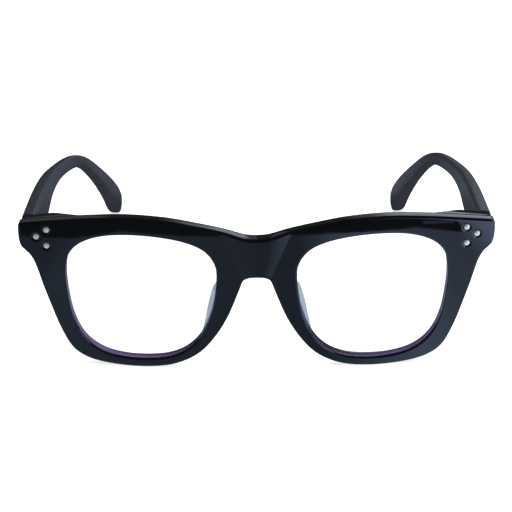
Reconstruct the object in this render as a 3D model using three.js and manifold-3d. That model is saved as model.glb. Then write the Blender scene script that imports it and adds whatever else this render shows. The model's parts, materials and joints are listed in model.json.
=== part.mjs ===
// Blue light glasses: a chunky plastic front with two plano lenses and two folding temples.
// Millimetres, +Z up, the front faces -Y. The wearer's left side is +X.
// The glasses stand open, on the bottom of both rims and on both temple tips (z = 0).
import * as THREE from 'three';
import { mergeVertices } from 'three/addons/utils/BufferGeometryUtils.js';
import Module from 'manifold-3d';

const wasm = await Module();
wasm.setup();

// ---- driving dimensions ----
const overallDepth = 147.9;
const gap = 0.3;

const rimThickness = 4.4;
const faceFormRadius = 430;
const rimEdgeChamfer = 0.5;
const bridgeBulge = 0.9;
const bridgeCentreY = -overallDepth / 2 + bridgeBulge;
const creaseFootZ = 31.7;
const creaseFootHalfWidth = 4.9;
const creaseLean = 0.42;
const swellFootZ = 31.2;
const swellTopZ = 42.6;

const lensThickness = 1.6;
const lensSeatDepth = 0.6;
const lensCurveRadius = 220;
const lensFrontSet = 0.2;
const lensCentre = new THREE.Vector2(36, 23.5);
const openingSteps = 48;

const blockFrontY = bridgeCentreY + 7;
const blockBackY = bridgeCentreY + 14.5;

const hingeX = 67.3;
const hingeY = blockBackY + 1.6;
const hingeZ = 42;
const barrelRadius = 1.3;
const boreRadius = 0.8;
const frontKnuckleHeight = 1.8;
const templeKnuckleHeight = 2;
const barrelHalfHeight = templeKnuckleHeight / 2 + gap + frontKnuckleHeight;
const leafThickness = 1.2;

const screwRadius = 0.5;
const screwHeadRadius = 1.1;
const screwHeadHeight = 0.5;
const screwSlotWidth = 0.35;

const rivetHeadRadius = 0.95;
const rivetHeadRise = 0.58;
const rivetFoot = 0.15;
const rivetPinRadius = 0.6;
const rivetPinLength = 3.2;
const rivetBoreClearance = 0.2;
const rivetSinkRadius = 1.5;
const rivetSinkDepth = 0.42;
const rivetSinkReach = 2;
const rivetPlaces = [[64.6, 45.2], [67.9, 42.9], [64.8, 40]];

const templeOuterX = 73.4;
const templeButtThickness = 4.5;
const templeInnerX = templeOuterX - templeButtThickness;
const templeButtY = blockBackY + gap;
const templeEdgeChamfer = 0.7;
const coreWireRadius = 0.55;
const coreWireStart = 10.1;
const coreWireEnd = 121;
const channelStart = 9.2;
const channelEnd = 122;

// ---- outlines, seen from the front: half of the front, then the opening of one lens ----
const topEdge = [
  [0, 43.7], [4, 44.1], [10, 45.85], [18, 47.6], [28, 49.35], [40, 50.1], [52, 49.5], [62, 48.5],
  [72.6, 47.2],
];
const outerSide = [[73.5, 46.2], [73.6, 43.8], [73.4, 41.2], [72.8, 39.3]];
const lowerEdge = [
  [71.9, 38.4], [70, 36.4], [68.5, 33.2], [66.6, 26.7], [64.3, 19.6], [61.8, 12.6], [58.5, 6.2],
  [54.3, 2.9], [49, 1.2], [42, 0.25], [35, 0.03], [28, 0.7], [22, 2.7], [17, 6.1], [12.5, 11.6],
  [8.9, 17.9], [5.7, 25.8], [4.7, 28.6],
];
const noseArch = [[3.9, 29.9], [2.2, 30.8], [0, 31]];
const lensOpening = [
  [12.5, 30.2], [13.1, 35.2], [16.3, 39.5], [22, 42.2], [30, 43.8], [39, 44.4], [47, 43.85],
  [53.4, 41.8], [57.5, 38.3], [59.1, 33.3], [59, 25.7], [57.5, 16.6], [54.3, 9.7], [49, 5.3],
  [42, 3.25], [34, 2.9], [27, 3.9], [21.3, 6.8], [16.9, 12.1], [13.7, 20.6],
];

// ---- the temple's stations: distance behind the butt, outer face, top, height, thickness ----
const straightStations = [
  { back: 0, outer: templeOuterX, top: 46.9, height: 8.7, thickness: templeButtThickness },
  { back: 24, outer: templeOuterX, top: 46.2, height: 11, thickness: templeButtThickness },
  { back: 46, outer: templeOuterX, top: 43.6, height: 7.4, thickness: 4.2 },
];
const bendStations = [
  { back: 60, outer: 72.2, top: 41.8, height: 5.2, thickness: 4 },
  { back: 72, outer: 69.6, top: 40.6, height: 4.7, thickness: 3.7 },
  { back: 79, outer: 66.9, top: 39.5, height: 4.6, thickness: 3.7 },
  { back: 86, outer: 64.3, top: 36.1, height: 4.8, thickness: 3.7 },
  { back: 98, outer: 61.6, top: 28.4, height: 6.4, thickness: 4 },
  { back: 111, outer: 59.5, top: 19.8, height: 9.2, thickness: 4.6 },
  { back: 122, outer: 58.6, top: 12.6, height: 11.4, thickness: 5 },
  { back: 127.6, outer: 58.1, top: 8.6, height: 8.5, thickness: 4.7 },
  { back: 130.8, outer: 57, top: 6.2, height: 5.6, thickness: 3.6 },
  { back: 132.2, outer: 55.8, top: 4.4, height: 2.6, thickness: 2.2 },
];

// ---- materials ----
function material(name, color, roughness, metalness = 0) {
  return new THREE.MeshStandardMaterial({ name, color, roughness, metalness });
}

const glossBlack = () => material('gloss_black_plastic', 0x0d0f13, 0.12);
const satinBlack = () => material('satin_black_plastic', 0x2b3036, 0.38);
const clearLens = () => material('coated_clear_lens', 0xdfe6f2, 0.05);
const padPlastic = () => material('clear_pad_plastic', 0xa9b4c4, 0.3);
const steel = () => material('brushed_steel', 0xb4b7bb, 0.35, 1);

// ---- solid helpers ----
function toManifold(geometry) {
  const bare = geometry.index ? geometry.toNonIndexed() : geometry.clone();
  bare.deleteAttribute('normal');
  bare.deleteAttribute('uv');
  const merged = mergeVertices(bare, 1e-4);
  const vertProperties = new Float32Array(merged.attributes.position.array);
  const triVerts = new Uint32Array(merged.index.array);
  return new wasm.Manifold(new wasm.Mesh({ numProp: 3, vertProperties, triVerts }));
}

function toGeometry(manifold) {
  const mesh = manifold.getMesh();
  const geometry = new THREE.BufferGeometry();
  geometry.setAttribute('position', new THREE.BufferAttribute(mesh.vertProperties, 3));
  geometry.setIndex(new THREE.BufferAttribute(mesh.triVerts, 1));
  const flat = geometry.toNonIndexed();
  flat.computeVertexNormals();
  return flat;
}

function signedVolume(points, faces) {
  let volume = 0;
  for (let i = 0; i < faces.length; i += 3) {
    const [a, b, c] = [points[faces[i]], points[faces[i + 1]], points[faces[i + 2]]];
    volume += a.dot(b.clone().cross(c)) / 6;
  }
  return volume;
}

// A body through rings of points, closed by a fan over the first and the last ring.
function loft(rings) {
  const sides = rings[0].length;
  const points = rings.flat();
  const faces = [];
  for (let ring = 0; ring < rings.length - 1; ring++) {
    for (let side = 0; side < sides; side++) {
      const a = ring * sides + side;
      const b = ring * sides + (side + 1) % sides;
      faces.push(a, b, b + sides, a, b + sides, a + sides);
    }
  }
  const last = points.length - sides;
  for (let side = 1; side < sides - 1; side++) {
    faces.push(0, side + 1, side);
    faces.push(last, last + side, last + side + 1);
  }
  if (signedVolume(points, faces) < 0) {
    faces.reverse();
  }
  const geometry = new THREE.BufferGeometry().setFromPoints(points);
  geometry.setIndex(faces);
  return toManifold(geometry);
}

function box(x0, x1, y0, y1, z0, z1) {
  const geometry = new THREE.BoxGeometry(x1 - x0, y1 - y0, z1 - z0);
  geometry.translate((x0 + x1) / 2, (y0 + y1) / 2, (z0 + z1) / 2);
  return toManifold(geometry);
}

// An upright cylinder about the hinge axis.
function barrel(radius, z0, z1, sides = 20) {
  const geometry = new THREE.CylinderGeometry(radius, radius, z1 - z0, sides);
  geometry.rotateX(Math.PI / 2).translate(hingeX, hingeY, (z0 + z1) / 2);
  return toManifold(geometry);
}

// The same body on the other side of the middle plane.
function mirrored(manifold) {
  return manifold.mirror([1, 0, 0]);
}

function join(...bodies) {
  return bodies.reduce((sum, body) => sum.add(body));
}

// ---- curves ----
function spline(points, divisions) {
  const curve = new THREE.SplineCurve(points.map(([x, z]) => new THREE.Vector2(x, z)));
  return curve.getPoints(divisions);
}

// The whole outline of the front, anticlockwise.
function frontOutline() {
  const half = [
    ...spline(topEdge, 18), ...spline(outerSide, 6), ...spline(lowerEdge, 36), ...spline(noseArch, 4),
  ];
  const other = half.slice(1, -1).map((point) => new THREE.Vector2(-point.x, point.y));
  return [...other, ...half.reverse()];
}

function openingOutline(side) {
  const loop = new THREE.CatmullRomCurve3(
    lensOpening.map(([x, z]) => new THREE.Vector3(x, z, 0)), true, 'catmullrom', 0.5,
  );
  return loop.getPoints(openingSteps).slice(0, -1)
    .map((point) => new THREE.Vector2(side * point.x, point.y));
}

// The outline moved outwards by a distance, square to itself.
function offsetOutline(outline, distance) {
  const area = THREE.ShapeUtils.area(outline);
  return outline.map((point, i) => {
    const before = outline[(i + outline.length - 1) % outline.length];
    const after = outline[(i + 1) % outline.length];
    const along = after.clone().sub(before).normalize().multiplyScalar(Math.sign(area));
    return new THREE.Vector2(point.x + along.y * distance, point.y - along.x * distance);
  });
}

function faceForm(x) {
  return bridgeCentreY + x * x / (2 * faceFormRadius);
}

function lensSurface(x, z, side) {
  const across = x - side * lensCentre.x;
  const up = z - lensCentre.y;
  return faceForm(x) + lensFrontSet + (across * across + up * up) / (2 * lensCurveRadius);
}

// ---- the lens and its groove: one curved sheet made from rings of a shrinking outline ----
function lensSheet(side, outline, front, thickness, scales) {
  const ring = (scale, depth) => outline.map((point) => {
    const x = side * lensCentre.x + (point.x - side * lensCentre.x) * scale;
    const z = lensCentre.y + (point.y - lensCentre.y) * scale;
    return new THREE.Vector3(x, lensSurface(x, z, side) + depth, z);
  });
  const outwards = scales.map((scale) => ring(scale, front));
  const inwards = [...scales].reverse().map((scale) => ring(scale, front + thickness));
  return loft([...outwards, ...inwards]);
}

function lens(side) {
  const outline = offsetOutline(openingOutline(side), lensSeatDepth);
  return lensSheet(side, outline, 0, lensThickness, [0.06, 0.55, 1]);
}

function lensGroove(side) {
  const outline = offsetOutline(openingOutline(side), lensSeatDepth + gap);
  return lensSheet(side, outline, -gap, lensThickness + 2 * gap, [0.5, 1]);
}

// ---- the front ----
function frontPlate() {
  const shape = new THREE.Shape(frontOutline());
  for (const side of [-1, 1]) {
    shape.holes.push(new THREE.Path(openingOutline(side)));
  }
  const geometry = new THREE.ExtrudeGeometry(shape, {
    depth: rimThickness - 2 * rimEdgeChamfer,
    bevelThickness: rimEdgeChamfer,
    bevelSize: rimEdgeChamfer,
    bevelOffset: -rimEdgeChamfer,
    bevelSegments: 1,
  });
  geometry.rotateX(Math.PI / 2).translate(0, rimThickness - rimEdgeChamfer, 0);
  const position = geometry.attributes.position;
  for (let i = 0; i < position.count; i++) {
    position.setY(i, position.getY(i) + faceForm(position.getX(i)));
  }
  return toManifold(geometry);
}

// The bridge swells forward between two creases that lean in towards the nose arch.
function bridgeSwell() {
  const creaseHalfWidth = (z) => creaseFootHalfWidth + (z - creaseFootZ) * creaseLean;
  const ring = (z) => {
    const points = [];
    const steps = 8;
    for (let i = 0; i <= steps; i++) {
      const across = -1 + 2 * i / steps;
      const x = across * creaseHalfWidth(z);
      points.push(new THREE.Vector3(x, faceForm(x) - bridgeBulge * (1 - across * across), z));
    }
    const inside = faceForm(0) + rimThickness / 2;
    points.push(new THREE.Vector3(creaseHalfWidth(z), inside, z));
    points.push(new THREE.Vector3(-creaseHalfWidth(z), inside, z));
    return points;
  };
  return loft([swellFootZ, swellTopZ].map(ring));
}

// The block behind each end of the front. It starts as a wedge beside the upper corner of the
// lens opening and narrows to a flat back face for the hinge.
function hingeBlock() {
  const outerEnd = [[71.6, 37.9], [72.7, 39.4], [73.2, 43.3], [73, 45.5], [71.8, 46.7]];
  const wedge = [
    [52, 48.8], [48.4, 48.6], [48, 45.6], [54, 43.8], [59.6, 40.2], [61, 37.8],
  ];
  const backFace = [
    [64, 47.5], [62.4, 47.4], [61.5, 46.6], [61.2, 43.8], [61.35, 40.2], [62.4, 37.8],
  ];
  const ring = (y, innerEnd) => [...outerEnd, ...innerEnd].map(([x, z]) => new THREE.Vector3(x, y, z));
  return loft([ring(blockFrontY, wedge), ring(blockBackY, backFace)]);
}

// Front leaf: a plate let into the back of the block, a tongue sunk into it, and two knuckles.
const frontPlateBox = {
  x0: 62.4, x1: 68.6, z0: hingeZ - barrelHalfHeight, z1: hingeZ + barrelHalfHeight,
};
const tongueBox = { x0: 63.4, x1: 66.4, z0: hingeZ - 0.9, z1: hingeZ + 0.9, length: 3.4 };
const knuckleNeckHalfWidth = 1.1;
const templeNeckFront = 0.4;
const neckOverlap = 0.5;
const throughHole = 8;

function grownBox(x0, x1, y0, y1, z0, z1, margin) {
  return box(x0 - margin, x1 + margin, y0 - margin, y1 + margin, z0 - margin, z1 + margin);
}

function frontLeafSeat(margin) {
  const { x0, x1, z0, z1 } = frontPlateBox;
  const plateFront = blockBackY - leafThickness;
  const plate = grownBox(x0, x1, plateFront, blockBackY, z0, z1, margin);
  const tongueFront = plateFront - tongueBox.length;
  const { x0: tx0, x1: tx1, z0: tz0, z1: tz1 } = tongueBox;
  const tongueBack = plateFront + leafThickness / 2;
  return plate.add(grownBox(tx0, tx1, tongueFront, tongueBack, tz0, tz1, margin));
}

function frontLeaf() {
  const knuckle = (z0, z1) => {
    const neck = box(
      hingeX - knuckleNeckHalfWidth, hingeX + knuckleNeckHalfWidth,
      blockBackY - neckOverlap, hingeY, z0, z1,
    );
    return barrel(barrelRadius, z0, z1).add(neck);
  };
  const inner = barrelHalfHeight - frontKnuckleHeight;
  const upper = knuckle(hingeZ + inner, hingeZ + barrelHalfHeight);
  const lower = knuckle(hingeZ - barrelHalfHeight, hingeZ - inner);
  const bore = barrel(boreRadius, hingeZ - throughHole, hingeZ + throughHole);
  return join(frontLeafSeat(0), upper, lower).subtract(bore);
}

// A hole for one rivet: a shallow sink on the face and a blind bore for the pin.
function rivetHole(x, z) {
  const floor = faceForm(x) + rivetSinkDepth;
  const sink = new THREE.CylinderGeometry(rivetSinkRadius, rivetSinkRadius, rivetSinkReach, 16);
  sink.translate(x, floor - rivetSinkReach / 2, z);
  const pinHoleRadius = rivetPinRadius + rivetBoreClearance;
  const pinHoleLength = rivetPinLength + 2 * gap;
  const bore = new THREE.CylinderGeometry(pinHoleRadius, pinHoleRadius, pinHoleLength, 12);
  bore.translate(x, floor - gap + pinHoleLength / 2, z);
  return toManifold(sink).add(toManifold(bore));
}

function frontFrame() {
  let frame = join(frontPlate(), bridgeSwell());
  for (const side of [-1, 1]) {
    const own = (body) => (side > 0 ? body : mirrored(body));
    frame = frame.add(own(hingeBlock())).subtract(own(frontLeafSeat(gap)));
    frame = frame.subtract(lensGroove(side));
    for (const [x, z] of rivetPlaces) {
      frame = frame.subtract(own(rivetHole(x, z)));
    }
  }
  return frame;
}

// ---- rivets and hinge screws, turned about their own axis ----
function rivet() {
  return turned([
    [0, -rivetPinLength], [rivetPinRadius, -rivetPinLength], [rivetPinRadius, rivetFoot],
    [rivetHeadRadius, rivetFoot], [rivetHeadRadius * 0.8, rivetHeadRise * 0.72],
    [rivetHeadRadius * 0.4, rivetHeadRise * 0.93], [0, rivetHeadRise],
  ], 14);
}

function turned(profile, sides) {
  const points = profile.map(([radius, height]) => new THREE.Vector2(radius, height));
  return toManifold(new THREE.LatheGeometry(points, sides));
}

// The screw drops in from above and ends flush with the lower knuckle.
function hingeScrew() {
  const head = barrelHalfHeight + gap;
  const body = turned([
    [0, -barrelHalfHeight], [screwRadius, -barrelHalfHeight], [screwRadius, head], [screwHeadRadius, head],
    [screwHeadRadius, head + screwHeadHeight * 0.6], [screwHeadRadius * 0.6, head + screwHeadHeight],
    [0, head + screwHeadHeight],
  ], 16);
  const slotDepth = screwHeadHeight * 0.45;
  const slot = new THREE.BoxGeometry(screwSlotWidth, 2 * slotDepth, 4 * screwHeadRadius);
  slot.translate(0, head + screwHeadHeight, 0);
  return body.subtract(toManifold(slot));
}

// ---- temples ----
function stationRing({ back, outer, top, height, thickness }) {
  const chamfer = Math.min(templeEdgeChamfer, height / 4);
  const inner = outer - thickness;
  const bottom = top - height;
  return [
    [outer - chamfer, top], [inner + chamfer, top], [inner, top - chamfer], [inner, bottom + chamfer],
    [inner + chamfer, bottom], [outer - chamfer, bottom], [outer, bottom + chamfer],
    [outer, top - chamfer],
  ].map(([x, z]) => new THREE.Vector3(x, templeButtY + back, z));
}

// Stations on smooth curves through the given ones.
function blendedStations(stations, steps) {
  const place = new THREE.CatmullRomCurve3(
    stations.map(({ back, outer, top }) => new THREE.Vector3(outer, back, top)), false, 'catmullrom',
  );
  const along = (key) => new THREE.SplineCurve(
    stations.map((station) => new THREE.Vector2(station.back, station[key])),
  );
  const heights = along('height');
  const thicknesses = along('thickness');
  const blended = [];
  for (let i = 1; i <= steps; i++) {
    const { x: outer, y: back, z: top } = place.getPoint(i / steps);
    const height = Math.min(heights.getPoint(i / steps).y, top);
    blended.push({ back, outer, top, height, thickness: thicknesses.getPoint(i / steps).y });
  }
  return blended;
}

const curvedStations = blendedStations([straightStations.at(-1), ...bendStations], 27);

// The middle line of the temple between two distances behind the butt.
function wirePath(startBack, endBack) {
  const along = [...straightStations, ...curvedStations]
    .filter(({ back }) => back > startBack + 1 && back < endBack);
  const middle = ({ back, outer, top, height, thickness }) => new THREE.Vector3(
    outer - thickness / 2, templeButtY + back, top - height / 2,
  );
  const start = middle(straightStations[0]);
  start.y = templeButtY + startBack;
  return new THREE.CatmullRomCurve3([start, ...along.map(middle)], false, 'centripetal');
}

function tube(path, radius, steps, sides = 8) {
  const section = new THREE.Shape();
  section.absarc(0, 0, radius, 0, 2 * Math.PI);
  const geometry = new THREE.ExtrudeGeometry(section, {
    steps, extrudePath: path, curveSegments: sides / 2, bevelEnabled: false,
  });
  return toManifold(geometry);
}

const templePlate = { y0: templeButtY + 0.8, y1: templeButtY + channelStart, z0: 39.7, z1: 44.3 };

// The leaf in the inner face of the temple. Its pocket is open inwards and at the butt.
function templeLeafPlate() {
  const { y0, y1, z0, z1 } = templePlate;
  return box(templeInnerX, templeInnerX + leafThickness, y0, y1, z0, z1);
}

function templeLeafPocket() {
  const { y1, z0, z1 } = templePlate;
  return box(
    templeInnerX - leafThickness, templeInnerX + leafThickness + gap,
    templeButtY - gap, y1 + gap, z0 - gap, z1 + gap,
  );
}

function temple() {
  const body = loft([...straightStations, ...curvedStations].map(stationRing));
  const channel = tube(wirePath(channelStart, channelEnd), coreWireRadius + gap, 24);
  return body.subtract(templeLeafPocket()).subtract(channel);
}

function coreWire() {
  return tube(wirePath(coreWireStart, coreWireEnd), coreWireRadius, 24);
}

function templeLeaf() {
  const z0 = hingeZ - templeKnuckleHeight / 2;
  const z1 = hingeZ + templeKnuckleHeight / 2;
  const neck = box(
    hingeX, templeInnerX + neckOverlap, hingeY - templeNeckFront, hingeY + barrelRadius, z0, z1,
  );
  const bore = barrel(boreRadius, z0 - throughHole, z1 + throughHole);
  return join(templeLeafPlate(), neck, barrel(barrelRadius, z0, z1)).subtract(bore);
}

// ---- nose pads: a slanted wing behind the nose side of each rim ----
function nosePad() {
  const stations = [
    { z: 27.5, x: 10.4, spread: 0.6, reach: 1.6 },
    { z: 25.2, x: 10.6, spread: 1.8, reach: 4.6 },
    { z: 21.5, x: 11.1, spread: 2.4, reach: 6.2 },
    { z: 17.5, x: 12.4, spread: 2.1, reach: 6 },
    { z: 13.5, x: 14.4, spread: 1, reach: 4.4 },
    { z: 10.2, x: 16.2, spread: 0.2, reach: 1.8 },
  ];
  const halfThickness = 1.1;
  const ring = ({ z, x, spread, reach }) => {
    const root = faceForm(x) + rimThickness + gap;
    return [
      [x - halfThickness, root], [x + halfThickness, root],
      [x + spread + halfThickness * 0.9, root + reach * 0.7], [x + spread + 0.6, root + reach],
      [x + spread - 0.6, root + reach], [x + spread - halfThickness * 1.1, root + reach * 0.75],
    ].map(([px, py]) => new THREE.Vector3(px, py, z));
  };
  return loft(stations.map(ring));
}

// ---- the assembly ----
const glasses = new THREE.Group();

function addPiece(name, body, finish) {
  const mesh = new THREE.Mesh(toGeometry(body), finish);
  mesh.name = name;
  glasses.add(mesh);
  return mesh;
}

addPiece('front_frame', frontFrame(), glossBlack());

for (const [word, side] of [['left', 1], ['right', -1]]) {
  const own = (body) => (side > 0 ? body : mirrored(body));
  addPiece(`lens_${word}`, lens(side), clearLens());
  addPiece(`nose_pad_${word}`, own(nosePad()), padPlastic());
  addPiece(`temple_${word}`, own(temple()), satinBlack());
  addPiece(`temple_core_wire_${word}`, own(coreWire()), steel());
  addPiece(`front_hinge_leaf_${word}`, own(frontLeaf()), steel());
  addPiece(`temple_hinge_leaf_${word}`, own(templeLeaf()), steel());

  const screw = addPiece(`hinge_screw_${word}`, hingeScrew(), steel());
  screw.rotation.x = Math.PI / 2;
  screw.position.set(side * hingeX, hingeY, hingeZ);

  rivetPlaces.forEach(([x, z], i) => {
    const piece = addPiece(`front_rivet_${word}_${i + 1}`, rivet(), steel());
    piece.rotation.x = Math.PI;
    piece.position.set(side * x, faceForm(x) + rivetSinkDepth, z);
  });
}

export default glasses;
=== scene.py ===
import json
import math
from functools import partial

import bmesh
import bpy
import numpy as np
from mathutils import Matrix, Vector
from mathutils.geometry import delaunay_2d_cdt


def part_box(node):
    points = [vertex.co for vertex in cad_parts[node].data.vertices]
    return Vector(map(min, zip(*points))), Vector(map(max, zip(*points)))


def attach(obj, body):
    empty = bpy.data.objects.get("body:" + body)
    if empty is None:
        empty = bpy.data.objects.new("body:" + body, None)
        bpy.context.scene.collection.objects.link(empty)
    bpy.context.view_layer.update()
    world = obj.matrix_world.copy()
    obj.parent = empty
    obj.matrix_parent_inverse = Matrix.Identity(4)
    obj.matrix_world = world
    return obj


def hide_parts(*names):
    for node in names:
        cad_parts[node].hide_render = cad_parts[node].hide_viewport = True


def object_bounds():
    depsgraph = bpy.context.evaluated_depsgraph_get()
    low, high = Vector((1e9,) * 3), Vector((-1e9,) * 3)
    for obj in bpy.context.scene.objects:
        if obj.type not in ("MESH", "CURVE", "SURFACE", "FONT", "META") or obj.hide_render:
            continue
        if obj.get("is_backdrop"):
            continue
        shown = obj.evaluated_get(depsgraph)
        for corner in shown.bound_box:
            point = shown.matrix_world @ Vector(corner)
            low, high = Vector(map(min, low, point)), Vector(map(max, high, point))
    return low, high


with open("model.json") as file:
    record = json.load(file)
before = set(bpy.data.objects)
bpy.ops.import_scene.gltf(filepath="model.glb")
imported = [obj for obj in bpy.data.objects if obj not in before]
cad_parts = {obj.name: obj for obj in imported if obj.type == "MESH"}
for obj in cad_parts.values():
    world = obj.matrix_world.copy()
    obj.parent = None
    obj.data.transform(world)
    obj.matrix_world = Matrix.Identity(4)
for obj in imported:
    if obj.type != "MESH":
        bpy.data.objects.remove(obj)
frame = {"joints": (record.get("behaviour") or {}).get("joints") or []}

MM = 0.001
SIDES = (("left", 1), ("right", -1))
cad_low, cad_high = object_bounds()


def node_box(name):
    """The lowest and highest corner of a CAD node, in millimetres."""
    low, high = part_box(name)
    return low / MM, high / MM


# ---- sizes ----
RIM_THICKNESS = 4.4
FACE_FORM_RADIUS = 430
OUTER_EDGE_RADIUS = 0.75
OPENING_EDGE_RADIUS = 0.6
SUPPORT_STEP = 0.25      # width of the flat strip that each rounded edge ends in
EDGE_STEPS = 6
OUTLINE_SPACING = 0.5

BRIDGE_BULGE = 0.9
BRIDGE_CENTRE_Y = node_box("front_frame")[0].y + BRIDGE_BULGE
CREASE_FOOT_Z = 31.7
CREASE_HALF_WIDTH = 4.9
CREASE_LEAN = 0.42
CREASE_SOFTNESS = 0.035
CROWN_SCALE = 0.499      # just under a half, so the swell stays within the bulge

LENS_CENTRE = (36, 23.5)
LENS_THICKNESS = 1.6
LENS_SEAT = 0.6
LENS_RADIUS = 220
LENS_SET = 0.2
LENS_BEVEL = 0.5
LENS_SPACING = 0.6
# A painted violet reflection of the groove wall, laid on the lenses near their edge.
RIM_REFLECTION_WIDTH = 0.7
RIM_REFLECTION_TOWARDS = (0.6, -0.8)      # outwards and down, where the painted reflection is strongest
RIM_REFLECTION_SHARE = {-1: 1, 1: 0.6}    # painted reflection on the right lens's rim and the left lens's
GAP = 0.3
OVERLAP = 0.1            # how far joined bodies run into each other

HINGE = {joint["name"].split("_")[-1]: Vector(joint["pos_m"]) / MM for joint in frame["joints"]}
HINGE_X, HINGE_Y, HINGE_Z = HINGE["left"]
LEAF_THICKNESS = 1.2
BARREL_RADIUS = 1.3
BORE_RADIUS = 0.8
BARREL_HALF_HEIGHT = 3.1
FRONT_KNUCKLE_HEIGHT = 1.8
TEMPLE_KNUCKLE_HEIGHT = 2
SCREW_RADIUS = 0.5
SCREW_HEAD_RADIUS = 1.1
SCREW_HEAD_HEIGHT = 0.5
SCREW_CHAMFER = 0.1
SLOT_DEPTH = 0.22
SLOT_HALF_WIDTH = 0.17
LEAF_CORNER_RADIUS = 0.7
LEAF_BEVEL = 0.1
FRONT_NECK_HALF_WIDTH = 1.1
FRONT_NECK_SINK = 0.6    # how far the front leaf's necks start inside its plate
TEMPLE_NECK_SINK = 0.5
TEMPLE_NECK_FRONT = 0.4  # how far the temple leaf's neck starts in front of the axis
BARREL_SIDES = 48
BORE_REACH = 8
SLOT_REACH = 2

BLOCK_BACK_Y = HINGE_Y - 1.6
BLOCK_FRONT_Y = BRIDGE_CENTRE_Y + 7
BLOCK_CORNER_RADIUS = 0.5
BLOCK_BACK_RADIUS = 0.45
BLOCK_STEPS = 5

RIVET_RADIUS = 0.95
RIVET_RISE = 0.55
SINK_RADIUS = 1.5
SINK_FLOOR_RADIUS = 1.0
SINK_DEPTH = 0.42
SINK_SLOPE = 1.3

TEMPLE_TOP_RADIUS = 1.95
TEMPLE_INNER_RADIUS = 1.0
TIP_OUTER_RADIUS = 3.2
TIP_INNER_RADIUS = 1.6
TIP_START = 90
# The largest share of the section's smaller side that each radius may take.
INNER_SHARE, OUTER_SHARE, TOP_SHARE = 0.36, 0.62, 0.4
BUTT_ROUNDING = 0.15
TIP_ROUNDING = 1.0
TEMPLE_BUTT_Y = BLOCK_BACK_Y + GAP
WIRE_RADIUS = 0.55
WIRE_RANGE = (10.1, 121)     # start and end behind the butt
CHANNEL_RANGE = (9, 122)

PAD_HALF_THICKNESS = 1.1
PAD_RINGS = 41
PAD_END_SCALES = (0.55, 0.86)    # the last ring and the one beside it

# ---- outlines, seen from the front ----
BRIDGE_AND_BROW = [
    (0, 43.7), (4, 44.1), (10, 45.85), (18, 47.6), (28, 49.35), (40, 50.1), (52, 49.5), (62, 48.5),
    (72.6, 47.2),
]
END_CORNER = [(72.6, 47.2), (73.2, 46.85), (73.5, 46.2)]
END_SIDE = [(73.5, 46.2), (73.6, 43.8), (73.4, 41.2), (72.8, 39.3), (71.9, 38.4)]
LOWER_EDGE = [
    (71.9, 38.4), (70, 36.4), (68.5, 33.2), (66.6, 26.7), (64.3, 19.6), (61.8, 12.6), (58.5, 6.2),
    (54.3, 2.9), (49, 1.2), (42, 0.25), (35, 0.03), (28, 0.7), (22, 2.7), (17, 6.1), (12.5, 11.6),
    (8.9, 17.9), (5.7, 25.8), (4.7, 28.6),
]
NOSE_ARCH = [(4.7, 28.6), (3.9, 29.9), (2.2, 30.8), (0, 31)]
LENS_OPENING = [
    (12.5, 30.2), (13.1, 35.2), (16.3, 39.5), (22, 42.2), (30, 43.8), (39, 44.4), (47, 43.85),
    (53.4, 41.8), (57.5, 38.3), (59.1, 33.3), (59, 25.7), (57.5, 16.6), (54.3, 9.7), (49, 5.3),
    (42, 3.25), (34, 2.9), (27, 3.9), (21.3, 6.8), (16.9, 12.1), (13.7, 20.6),
]

# Along a temple: distance behind its butt, outer face, top, height and thickness.
TEMPLE_STATIONS = [
    (0, 73.4, 46.9, 8.7, 4.5), (24, 73.4, 46.2, 11, 4.5), (46, 73.4, 43.6, 7.4, 4.2),
    (60, 72.2, 41.8, 5.2, 4), (72, 69.6, 40.6, 4.7, 3.7), (79, 66.9, 39.5, 4.6, 3.7),
    (86, 64.3, 36.1, 4.8, 3.7), (98, 61.6, 28.4, 6.4, 4), (111, 59.5, 19.8, 9.2, 4.6),
    (122, 58.6, 12.6, 11.4, 5), (127.6, 58.1, 8.6, 8.5, 4.7), (130.8, 57, 6.2, 5.6, 3.6),
    (132.2, 55.8, 4.4, 2.6, 2.2),
]
# Down a nose pad: height, root, how far it spreads and how far it reaches back.
PAD_STATIONS = [
    (27.5, 10.4, 0.6, 1.6), (25.2, 10.6, 1.8, 4.6), (21.5, 11.1, 2.4, 6.2), (17.5, 12.4, 2.1, 6),
    (13.5, 14.4, 1, 4.4), (10.2, 16.2, 0.2, 1.8),
]


# ---- curves ----
def on_spline(points, place, closed=False):
    """A point of the uniform spline through the points, at a place counted in points."""
    count = len(points)
    first = int(place) if closed else min(int(place), count - 2)
    t = place - first
    picked = []
    for k in range(first - 1, first + 3):
        picked.append(points[k % count if closed else min(max(k, 0), count - 1)])
    result = []
    for a, b, c, d in zip(*picked):
        slope_in, slope_out = (c - a) / 2, (d - b) / 2
        result.append(b + slope_in * t + (3 * (c - b) - 2 * slope_in - slope_out) * t ** 2
                      + (2 * (b - c) + slope_in + slope_out) * t ** 3)
    return tuple(result)


def dense(points, closed=False, steps=60):
    """Many points along the spline through a few."""
    spans = len(points) if closed else len(points) - 1
    total = spans * steps
    return [on_spline(points, i / steps, closed) for i in range(total if closed else total + 1)]


FINE_BELOW_X = 12
FINE_ABOVE_X = 71


def evenly(line, spacing):
    """The line walked with even steps, shorter at the bridge and the end corners."""
    kept = [line[0]]
    walked = 0
    for before, point in zip(line, line[1:]):
        walked += math.dist(before, point)
        fine = abs(point[0]) < FINE_BELOW_X or abs(point[0]) > FINE_ABOVE_X
        if walked >= (spacing / 2 if fine else spacing):
            kept.append(point)
            walked = 0
    kept[-1] = line[-1]
    return kept


def front_loop(spacing):
    """The whole outline of the front, anticlockwise."""
    half = []
    for part in (BRIDGE_AND_BROW, END_CORNER, END_SIDE, LOWER_EDGE, NOSE_ARCH):
        half += evenly(dense(part), spacing)[:-1]
    half.append(NOSE_ARCH[-1])
    other = [(-x, z) for x, z in half[1:-1]]
    return other + half[::-1]


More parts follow.
